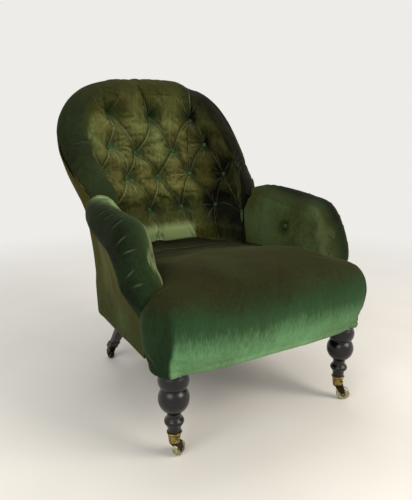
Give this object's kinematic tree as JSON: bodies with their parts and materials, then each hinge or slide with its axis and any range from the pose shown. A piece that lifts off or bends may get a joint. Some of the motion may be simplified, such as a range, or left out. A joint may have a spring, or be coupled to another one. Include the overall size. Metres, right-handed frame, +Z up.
{
  "type": "button back armchair",
  "caption": "Low upholstered armchair with a deep-buttoned arched back, padded scroll arms, a sprung seat, turned front legs, swept rear legs and castors.",
  "frame": {"origin": "on the floor, under the centre of the chair's outer box", "axes": "+Z up, the front of the seat faces -Y, +X is on the viewer's right as seen from the front"},
  "size_m": [0.634, 0.7561, 0.832],
  "materials": {
    "velvet": "cotton velvet, olive to emerald with a shifting nap",
    "beech": "unfinished sawn beech",
    "ebonised_wood": "ebonised and french polished",
    "mahogany": "dark stained, waxed",
    "hessian": "plain woven hessian",
    "jute": "woven jute webbing",
    "lining_cloth": "black cotton lining",
    "spring_steel": "coppered spring wire, dulled",
    "brass": "aged cast brass",
    "dark_steel": "aged steel"
  },
  "bodies": {
    "chair": {"inside_back_pad": "velvet", "right_arm_pad": "velvet", "left_arm_pad": "velvet", "seat_front_roll": "velvet", "seat_stuffing": "velvet", "outside_back_panel": "velvet", "right_outside_arm_panel": "velvet", "left_outside_arm_panel": "velvet", "back_buttons": "velvet", "arm_buttons": "velvet", "front_seat_rail": "beech", "rear_seat_rail": "beech", "right_seat_rail": "beech", "left_seat_rail": "beech", "corner_blocks": "beech", "crest_rail": "beech", "lower_back_rail": "beech", "right_back_post": "beech", "left_back_post": "beech", "right_wing_post": "beech", "left_wing_post": "beech", "right_arm_rail": "beech", "left_arm_rail": "beech", "right_arm_post": "beech", "left_arm_post": "beech", "right_front_leg": "ebonised_wood", "left_front_leg": "ebonised_wood", "right_rear_leg": "mahogany", "left_rear_leg": "mahogany", "back_canvas": "hessian", "spring_canvas": "hessian", "seat_webbing": "jute", "bottom_lining": "lining_cloth", "seat_springs": "spring_steel", "castor_cup_front_left": "brass", "castor_cup_front_right": "brass", "castor_cup_rear_left": "brass", "castor_cup_rear_right": "brass", "castor_cup_screws": "dark_steel"},
    "swivel_front_left": {"castor_horn_front_left": "brass", "castor_axle_front_left": "dark_steel"},
    "wheel_front_left": {"castor_wheel_front_left": "brass"},
    "swivel_front_right": {"castor_horn_front_right": "brass", "castor_axle_front_right": "dark_steel"},
    "wheel_front_right": {"castor_wheel_front_right": "brass"},
    "swivel_rear_left": {"castor_horn_rear_left": "brass", "castor_axle_rear_left": "dark_steel"},
    "wheel_rear_left": {"castor_wheel_rear_left": "brass"},
    "swivel_rear_right": {"castor_horn_rear_right": "brass", "castor_axle_rear_right": "dark_steel"},
    "wheel_rear_right": {"castor_wheel_rear_right": "brass"}
  },
  "joints": [
    {"name": "swivel_joint_front_left", "type": "hinge", "parent": "chair", "child": "swivel_front_left", "pos_m": [-0.235, -0.3035, 0.042], "axis": [0, 0, 1], "continuous": true},
    {"name": "roll_joint_front_left", "type": "hinge", "parent": "swivel_front_left", "child": "wheel_front_left", "pos_m": [-0.22176, -0.29646, 0.0165], "axis": [-0.4695, 0.8829, 0], "continuous": true},
    {"name": "swivel_joint_front_right", "type": "hinge", "parent": "chair", "child": "swivel_front_right", "pos_m": [0.235, -0.3035, 0.042], "axis": [0, 0, 1], "continuous": true},
    {"name": "roll_joint_front_right", "type": "hinge", "parent": "swivel_front_right", "child": "wheel_front_right", "pos_m": [0.24698, -0.31253, 0.0165], "axis": [0.6018, 0.7986, 0], "continuous": true},
    {"name": "swivel_joint_rear_left", "type": "hinge", "parent": "chair", "child": "swivel_rear_left", "pos_m": [-0.198, 0.1995, 0.042], "axis": [0, 0, 1], "continuous": true},
    {"name": "roll_joint_rear_left", "type": "hinge", "parent": "swivel_rear_left", "child": "wheel_rear_left", "pos_m": [-0.19931, 0.21444, 0.0165], "axis": [-0.9962, -0.0872, 0], "continuous": true},
    {"name": "swivel_joint_rear_right", "type": "hinge", "parent": "chair", "child": "swivel_rear_right", "pos_m": [0.198, 0.1995, 0.042], "axis": [0, 0, 1], "continuous": true},
    {"name": "roll_joint_rear_right", "type": "hinge", "parent": "swivel_rear_right", "child": "wheel_rear_right", "pos_m": [0.20112, 0.21417, 0.0165], "axis": [-0.9781, 0.2079, 0], "continuous": true}
  ]
}
